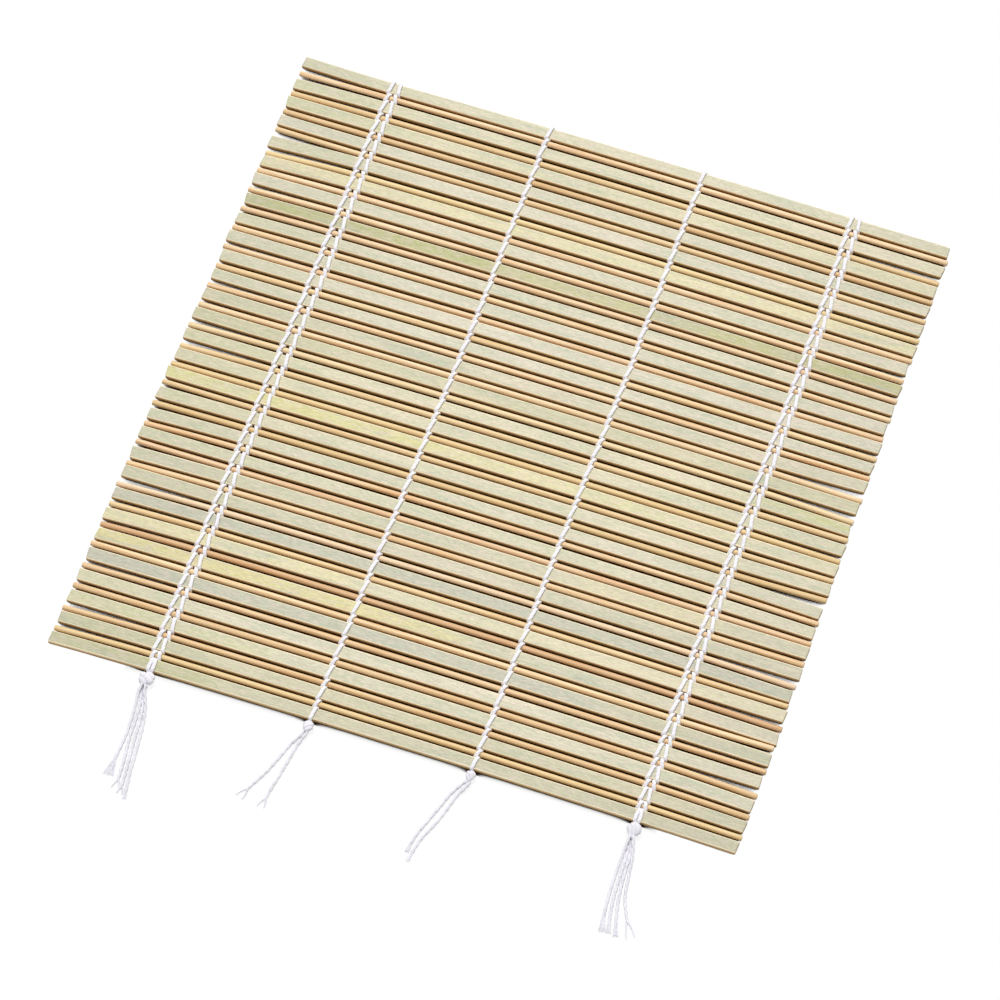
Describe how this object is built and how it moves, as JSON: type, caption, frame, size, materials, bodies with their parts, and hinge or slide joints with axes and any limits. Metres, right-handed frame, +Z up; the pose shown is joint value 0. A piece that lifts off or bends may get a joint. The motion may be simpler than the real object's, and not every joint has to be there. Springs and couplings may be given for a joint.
{
  "type": "sushi rolling mat",
  "caption": "Square bamboo sushi rolling mat: flat slats and round sticks in turn, twined together with cotton string that ends in knotted tassels, so that it rolls up.",
  "frame": {"origin": "on the ground under the middle of the whole flat mat, tassels included", "axes": "+X along the bamboo, +Y across it from the tassel edge to the far edge, +Z up from the ground to the skin side"},
  "size_m": [0.24, 0.2886, 0.0034],
  "materials": {
    "bamboo_slat": "natural green-skinned bamboo, skin side up, satin",
    "bamboo_stick": "turned peeled bamboo, matt",
    "cotton_string": "plied white cotton twine"
  },
  "bodies": {
    "slat_01": {"slat_01": "bamboo_slat"},
    "stick_01": {"stick_01": "bamboo_stick"},
    "slat_02": {"slat_02": "bamboo_slat"},
    "stick_02": {"stick_02": "bamboo_stick"},
    "slat_03": {"slat_03": "bamboo_slat"},
    "stick_03": {"stick_03": "bamboo_stick"},
    "slat_04": {"slat_04": "bamboo_slat"},
    "stick_04": {"stick_04": "bamboo_stick"},
    "slat_05": {"slat_05": "bamboo_slat"},
    "stick_05": {"stick_05": "bamboo_stick"},
    "slat_06": {"slat_06": "bamboo_slat"},
    "stick_06": {"stick_06": "bamboo_stick"},
    "slat_07": {"slat_07": "bamboo_slat"},
    "stick_07": {"stick_07": "bamboo_stick"},
    "slat_08": {"slat_08": "bamboo_slat"},
    "stick_08": {"stick_08": "bamboo_stick"},
    "slat_09": {"slat_09": "bamboo_slat"},
    "stick_09": {"stick_09": "bamboo_stick"},
    "slat_10": {"slat_10": "bamboo_slat"},
    "stick_10": {"stick_10": "bamboo_stick"},
    "slat_11": {"slat_11": "bamboo_slat"},
    "stick_11": {"stick_11": "bamboo_stick"},
    "slat_12": {"slat_12": "bamboo_slat"},
    "stick_12": {"stick_12": "bamboo_stick"},
    "slat_13": {"slat_13": "bamboo_slat"},
    "stick_13": {"stick_13": "bamboo_stick", "binding_strings": "cotton_string"},
    "slat_14": {"slat_14": "bamboo_slat"},
    "stick_14": {"stick_14": "bamboo_stick"},
    "slat_15": {"slat_15": "bamboo_slat"},
    "stick_15": {"stick_15": "bamboo_stick"},
    "slat_16": {"slat_16": "bamboo_slat"},
    "stick_16": {"stick_16": "bamboo_stick"},
    "slat_17": {"slat_17": "bamboo_slat"},
    "stick_17": {"stick_17": "bamboo_stick"},
    "slat_18": {"slat_18": "bamboo_slat"},
    "stick_18": {"stick_18": "bamboo_stick"},
    "slat_19": {"slat_19": "bamboo_slat"},
    "stick_19": {"stick_19": "bamboo_stick"},
    "slat_20": {"slat_20": "bamboo_slat"},
    "stick_20": {"stick_20": "bamboo_stick"},
    "slat_21": {"slat_21": "bamboo_slat"},
    "stick_21": {"stick_21": "bamboo_stick"},
    "slat_22": {"slat_22": "bamboo_slat"},
    "stick_22": {"stick_22": "bamboo_stick"},
    "slat_23": {"slat_23": "bamboo_slat"},
    "stick_23": {"stick_23": "bamboo_stick"},
    "slat_24": {"slat_24": "bamboo_slat"},
    "stick_24": {"stick_24": "bamboo_stick"},
    "slat_25": {"slat_25": "bamboo_slat"},
    "stick_25": {"stick_25": "bamboo_stick"},
    "slat_26": {"slat_26": "bamboo_slat"},
    "stick_26": {"stick_26": "bamboo_stick"},
    "slat_27": {"slat_27": "bamboo_slat"},
    "stick_27": {"stick_27": "bamboo_stick"},
    "slat_28": {"slat_28": "bamboo_slat"},
    "stick_28": {"stick_28": "bamboo_stick"},
    "slat_29": {"slat_29": "bamboo_slat"},
    "stick_29": {"stick_29": "bamboo_stick"},
    "slat_30": {"slat_30": "bamboo_slat"}
  },
  "joints": [
    {"name": "fold_01", "type": "hinge", "parent": "slat_01", "child": "stick_01", "pos_m": [0, -0.09371, 0.00153], "axis": [1, 0, 0], "range_deg": [-11.9, 11.9], "deforming": ["binding_strings"]},
    {"name": "fold_02", "type": "hinge", "parent": "stick_01", "child": "slat_02", "pos_m": [0, -0.09056, 0.00153], "axis": [1, 0, 0], "range_deg": [-12, 12], "deforming": ["binding_strings"]},
    {"name": "fold_03", "type": "hinge", "parent": "slat_02", "child": "stick_02", "pos_m": [0, -0.08551, 0.00153], "axis": [1, 0, 0], "range_deg": [-12.1, 12.1], "deforming": ["binding_strings"]},
    {"name": "fold_04", "type": "hinge", "parent": "stick_02", "child": "slat_03", "pos_m": [0, -0.08236, 0.00153], "axis": [1, 0, 0], "range_deg": [-12.2, 12.2], "deforming": ["binding_strings"]},
    {"name": "fold_05", "type": "hinge", "parent": "slat_03", "child": "stick_03", "pos_m": [0, -0.07731, 0.00153], "axis": [1, 0, 0], "range_deg": [-12.3, 12.3], "deforming": ["binding_strings"]},
    {"name": "fold_06", "type": "hinge", "parent": "stick_03", "child": "slat_04", "pos_m": [0, -0.07416, 0.00153], "axis": [1, 0, 0], "range_deg": [-12.3, 12.3], "deforming": ["binding_strings"]},
    {"name": "fold_07", "type": "hinge", "parent": "slat_04", "child": "stick_04", "pos_m": [0, -0.06911, 0.00153], "axis": [1, 0, 0], "range_deg": [-12.4, 12.4], "deforming": ["binding_strings"]},
    {"name": "fold_08", "type": "hinge", "parent": "stick_04", "child": "slat_05", "pos_m": [0, -0.06596, 0.00153], "axis": [1, 0, 0], "range_deg": [-12.5, 12.5], "deforming": ["binding_strings"]},
    {"name": "fold_09", "type": "hinge", "parent": "slat_05", "child": "stick_05", "pos_m": [0, -0.06091, 0.00153], "axis": [1, 0, 0], "range_deg": [-12.6, 12.6], "deforming": ["binding_strings"]},
    {"name": "fold_10", "type": "hinge", "parent": "stick_05", "child": "slat_06", "pos_m": [0, -0.05776, 0.00153], "axis": [1, 0, 0], "range_deg": [-12.7, 12.7], "deforming": ["binding_strings"]},
    {"name": "fold_11", "type": "hinge", "parent": "slat_06", "child": "stick_06", "pos_m": [0, -0.05271, 0.00153], "axis": [1, 0, 0], "range_deg": [-12.8, 12.8], "deforming": ["binding_strings"]},
    {"name": "fold_12", "type": "hinge", "parent": "stick_06", "child": "slat_07", "pos_m": [0, -0.04956, 0.00153], "axis": [1, 0, 0], "range_deg": [-12.9, 12.9], "deforming": ["binding_strings"]},
    {"name": "fold_13", "type": "hinge", "parent": "slat_07", "child": "stick_07", "pos_m": [0, -0.04451, 0.00153], "axis": [1, 0, 0], "range_deg": [-13, 13], "deforming": ["binding_strings"]},
    {"name": "fold_14", "type": "hinge", "parent": "stick_07", "child": "slat_08", "pos_m": [0, -0.04136, 0.00153], "axis": [1, 0, 0], "range_deg": [-13.1, 13.1], "deforming": ["binding_strings"]},
    {"name": "fold_15", "type": "hinge", "parent": "slat_08", "child": "stick_08", "pos_m": [0, -0.03631, 0.00153], "axis": [1, 0, 0], "range_deg": [-13.2, 13.2], "deforming": ["binding_strings"]},
    {"name": "fold_16", "type": "hinge", "parent": "stick_08", "child": "slat_09", "pos_m": [0, -0.03316, 0.00153], "axis": [1, 0, 0], "range_deg": [-13.3, 13.3], "deforming": ["binding_strings"]},
    {"name": "fold_17", "type": "hinge", "parent": "slat_09", "child": "stick_09", "pos_m": [0, -0.02811, 0.00153], "axis": [1, 0, 0], "range_deg": [-13.4, 13.4], "deforming": ["binding_strings"]},
    {"name": "fold_18", "type": "hinge", "parent": "stick_09", "child": "slat_10", "pos_m": [0, -0.02496, 0.00153], "axis": [1, 0, 0], "range_deg": [-13.5, 13.5], "deforming": ["binding_strings"]},
    {"name": "fold_19", "type": "hinge", "parent": "slat_10", "child": "stick_10", "pos_m": [0, -0.01991, 0.00153], "axis": [1, 0, 0], "range_deg": [-13.6, 13.6], "deforming": ["binding_strings"]},
    {"name": "fold_20", "type": "hinge", "parent": "stick_10", "child": "slat_11", "pos_m": [0, -0.01676, 0.00153], "axis": [1, 0, 0], "range_deg": [-13.7, 13.7], "deforming": ["binding_strings"]},
    {"name": "fold_21", "type": "hinge", "parent": "slat_11", "child": "stick_11", "pos_m": [0, -0.01171, 0.00153], "axis": [1, 0, 0], "range_deg": [-13.8, 13.8], "deforming": ["binding_strings"]},
    {"name": "fold_22", "type": "hinge", "parent": "stick_11", "child": "slat_12", "pos_m": [0, -0.00856, 0.00153], "axis": [1, 0, 0], "range_deg": [-13.9, 13.9], "deforming": ["binding_strings"]},
    {"name": "fold_23", "type": "hinge", "parent": "slat_12", "child": "stick_12", "pos_m": [0, -0.00351, 0.00153], "axis": [1, 0, 0], "range_deg": [-14.1, 14.1], "deforming": ["binding_strings"]},
    {"name": "fold_24", "type": "hinge", "parent": "stick_12", "child": "slat_13", "pos_m": [0, -0.00036, 0.00153], "axis": [1, 0, 0], "range_deg": [-14.2, 14.2], "deforming": ["binding_strings"]},
    {"name": "fold_25", "type": "hinge", "parent": "slat_13", "child": "stick_13", "pos_m": [0, 0.00469, 0.00153], "axis": [1, 0, 0], "range_deg": [-14.4, 14.4], "deforming": ["binding_strings"]},
    {"name": "fold_26", "type": "hinge", "parent": "stick_13", "child": "slat_14", "pos_m": [0, 0.00784, 0.00153], "axis": [1, 0, 0], "range_deg": [-14.5, 14.5], "deforming": ["binding_strings"]},
    {"name": "fold_27", "type": "hinge", "parent": "slat_14", "child": "stick_14", "pos_m": [0, 0.01289, 0.00153], "axis": [1, 0, 0], "range_deg": [-14.6, 14.6], "deforming": ["binding_strings"]},
    {"name": "fold_28", "type": "hinge", "parent": "stick_14", "child": "slat_15", "pos_m": [0, 0.01604, 0.00153], "axis": [1, 0, 0], "range_deg": [-14.7, 14.7], "deforming": ["binding_strings"]},
    {"name": "fold_29", "type": "hinge", "parent": "slat_15", "child": "stick_15", "pos_m": [0, 0.02109, 0.00153], "axis": [1, 0, 0], "range_deg": [-14.9, 14.9], "deforming": ["binding_strings"]},
    {"name": "fold_30", "type": "hinge", "parent": "stick_15", "child": "slat_16", "pos_m": [0, 0.02424, 0.00153], "axis": [1, 0, 0], "range_deg": [-15, 15], "deforming": ["binding_strings"]},
    {"name": "fold_31", "type": "hinge", "parent": "slat_16", "child": "stick_16", "pos_m": [0, 0.02929, 0.00153], "axis": [1, 0, 0], "range_deg": [-15.2, 15.2], "deforming": ["binding_strings"]},
    {"name": "fold_32", "type": "hinge", "parent": "stick_16", "child": "slat_17", "pos_m": [0, 0.03244, 0.00153], "axis": [1, 0, 0], "range_deg": [-15.3, 15.3], "deforming": ["binding_strings"]},
    {"name": "fold_33", "type": "hinge", "parent": "slat_17", "child": "stick_17", "pos_m": [0, 0.03749, 0.00153], "axis": [1, 0, 0], "range_deg": [-15.5, 15.5], "deforming": ["binding_strings"]},
    {"name": "fold_34", "type": "hinge", "parent": "stick_17", "child": "slat_18", "pos_m": [0, 0.04064, 0.00153], "axis": [1, 0, 0], "range_deg": [-15.7, 15.7], "deforming": ["binding_strings"]},
    {"name": "fold_35", "type": "hinge", "parent": "slat_18", "child": "stick_18", "pos_m": [0, 0.04569, 0.00153], "axis": [1, 0, 0], "range_deg": [-15.9, 15.9], "deforming": ["binding_strings"]},
    {"name": "fold_36", "type": "hinge", "parent": "stick_18", "child": "slat_19", "pos_m": [0, 0.04884, 0.00153], "axis": [1, 0, 0], "range_deg": [-16, 16], "deforming": ["binding_strings"]},
    {"name": "fold_37", "type": "hinge", "parent": "slat_19", "child": "stick_19", "pos_m": [0, 0.05389, 0.00153], "axis": [1, 0, 0], "range_deg": [-16.3, 16.3], "deforming": ["binding_strings"]},
    {"name": "fold_38", "type": "hinge", "parent": "stick_19", "child": "slat_20", "pos_m": [0, 0.05704, 0.00153], "axis": [1, 0, 0], "range_deg": [-16.4, 16.4], "deforming": ["binding_strings"]},
    {"name": "fold_39", "type": "hinge", "parent": "slat_20", "child": "stick_20", "pos_m": [0, 0.06209, 0.00153], "axis": [1, 0, 0], "range_deg": [-16.7, 16.7], "deforming": ["binding_strings"]},
    {"name": "fold_40", "type": "hinge", "parent": "stick_20", "child": "slat_21", "pos_m": [0, 0.06524, 0.00153], "axis": [1, 0, 0], "range_deg": [-16.8, 16.8], "deforming": ["binding_strings"]},
    {"name": "fold_41", "type": "hinge", "parent": "slat_21", "child": "stick_21", "pos_m": [0, 0.07029, 0.00153], "axis": [1, 0, 0], "range_deg": [-17.1, 17.1], "deforming": ["binding_strings"]},
    {"name": "fold_42", "type": "hinge", "parent": "stick_21", "child": "slat_22", "pos_m": [0, 0.07344, 0.00153], "axis": [1, 0, 0], "range_deg": [-17.3, 17.3], "deforming": ["binding_strings"]},
    {"name": "fold_43", "type": "hinge", "parent": "slat_22", "child": "stick_22", "pos_m": [0, 0.07849, 0.00153], "axis": [1, 0, 0], "range_deg": [-17.6, 17.6], "deforming": ["binding_strings"]},
    {"name": "fold_44", "type": "hinge", "parent": "stick_22", "child": "slat_23", "pos_m": [0, 0.08164, 0.00153], "axis": [1, 0, 0], "range_deg": [-17.8, 17.8], "deforming": ["binding_strings"]},
    {"name": "fold_45", "type": "hinge", "parent": "slat_23", "child": "stick_23", "pos_m": [0, 0.08669, 0.00153], "axis": [1, 0, 0], "range_deg": [-18.1, 18.1], "deforming": ["binding_strings"]},
    {"name": "fold_46", "type": "hinge", "parent": "stick_23", "child": "slat_24", "pos_m": [0, 0.08984, 0.00153], "axis": [1, 0, 0], "range_deg": [-18.3, 18.3], "deforming": ["binding_strings"]},
    {"name": "fold_47", "type": "hinge", "parent": "slat_24", "child": "stick_24", "pos_m": [0, 0.09489, 0.00153], "axis": [1, 0, 0], "range_deg": [-18.6, 18.6], "deforming": ["binding_strings"]},
    {"name": "fold_48", "type": "hinge", "parent": "stick_24", "child": "slat_25", "pos_m": [0, 0.09804, 0.00153], "axis": [1, 0, 0], "range_deg": [-18.9, 18.9], "deforming": ["binding_strings"]},
    {"name": "fold_49", "type": "hinge", "parent": "slat_25", "child": "stick_25", "pos_m": [0, 0.10309, 0.00153], "axis": [1, 0, 0], "range_deg": [-19.2, 19.2], "deforming": ["binding_strings"]},
    {"name": "fold_50", "type": "hinge", "parent": "stick_25", "child": "slat_26", "pos_m": [0, 0.10624, 0.00153], "axis": [1, 0, 0], "range_deg": [-19.5, 19.5], "deforming": ["binding_strings"]},
    {"name": "fold_51", "type": "hinge", "parent": "slat_26", "child": "stick_26", "pos_m": [0, 0.11129, 0.00153], "axis": [1, 0, 0], "range_deg": [-19.9, 19.9], "deforming": ["binding_strings"]},
    {"name": "fold_52", "type": "hinge", "parent": "stick_26", "child": "slat_27", "pos_m": [0, 0.11444, 0.00153], "axis": [1, 0, 0], "range_deg": [-20.2, 20.2], "deforming": ["binding_strings"]},
    {"name": "fold_53", "type": "hinge", "parent": "slat_27", "child": "stick_27", "pos_m": [0, 0.11949, 0.00153], "axis": [1, 0, 0], "range_deg": [-20.7, 20.7], "deforming": ["binding_strings"]},
    {"name": "fold_54", "type": "hinge", "parent": "stick_27", "child": "slat_28", "pos_m": [0, 0.12264, 0.00153], "axis": [1, 0, 0], "range_deg": [-21, 21], "deforming": ["binding_strings"]},
    {"name": "fold_55", "type": "hinge", "parent": "slat_28", "child": "stick_28", "pos_m": [0, 0.12769, 0.00153], "axis": [1, 0, 0], "range_deg": [-21.5, 21.5], "deforming": ["binding_strings"]},
    {"name": "fold_56", "type": "hinge", "parent": "stick_28", "child": "slat_29", "pos_m": [0, 0.13084, 0.00153], "axis": [1, 0, 0], "range_deg": [-21.9, 21.9], "deforming": ["binding_strings"]},
    {"name": "fold_57", "type": "hinge", "parent": "slat_29", "child": "stick_29", "pos_m": [0, 0.13589, 0.00153], "axis": [1, 0, 0], "range_deg": [-22.5, 22.5], "deforming": ["binding_strings"]},
    {"name": "fold_58", "type": "hinge", "parent": "stick_29", "child": "slat_30", "pos_m": [0, 0.13904, 0.00153], "axis": [1, 0, 0], "range_deg": [-22.9, 22.9], "deforming": ["binding_strings"]}
  ]
}
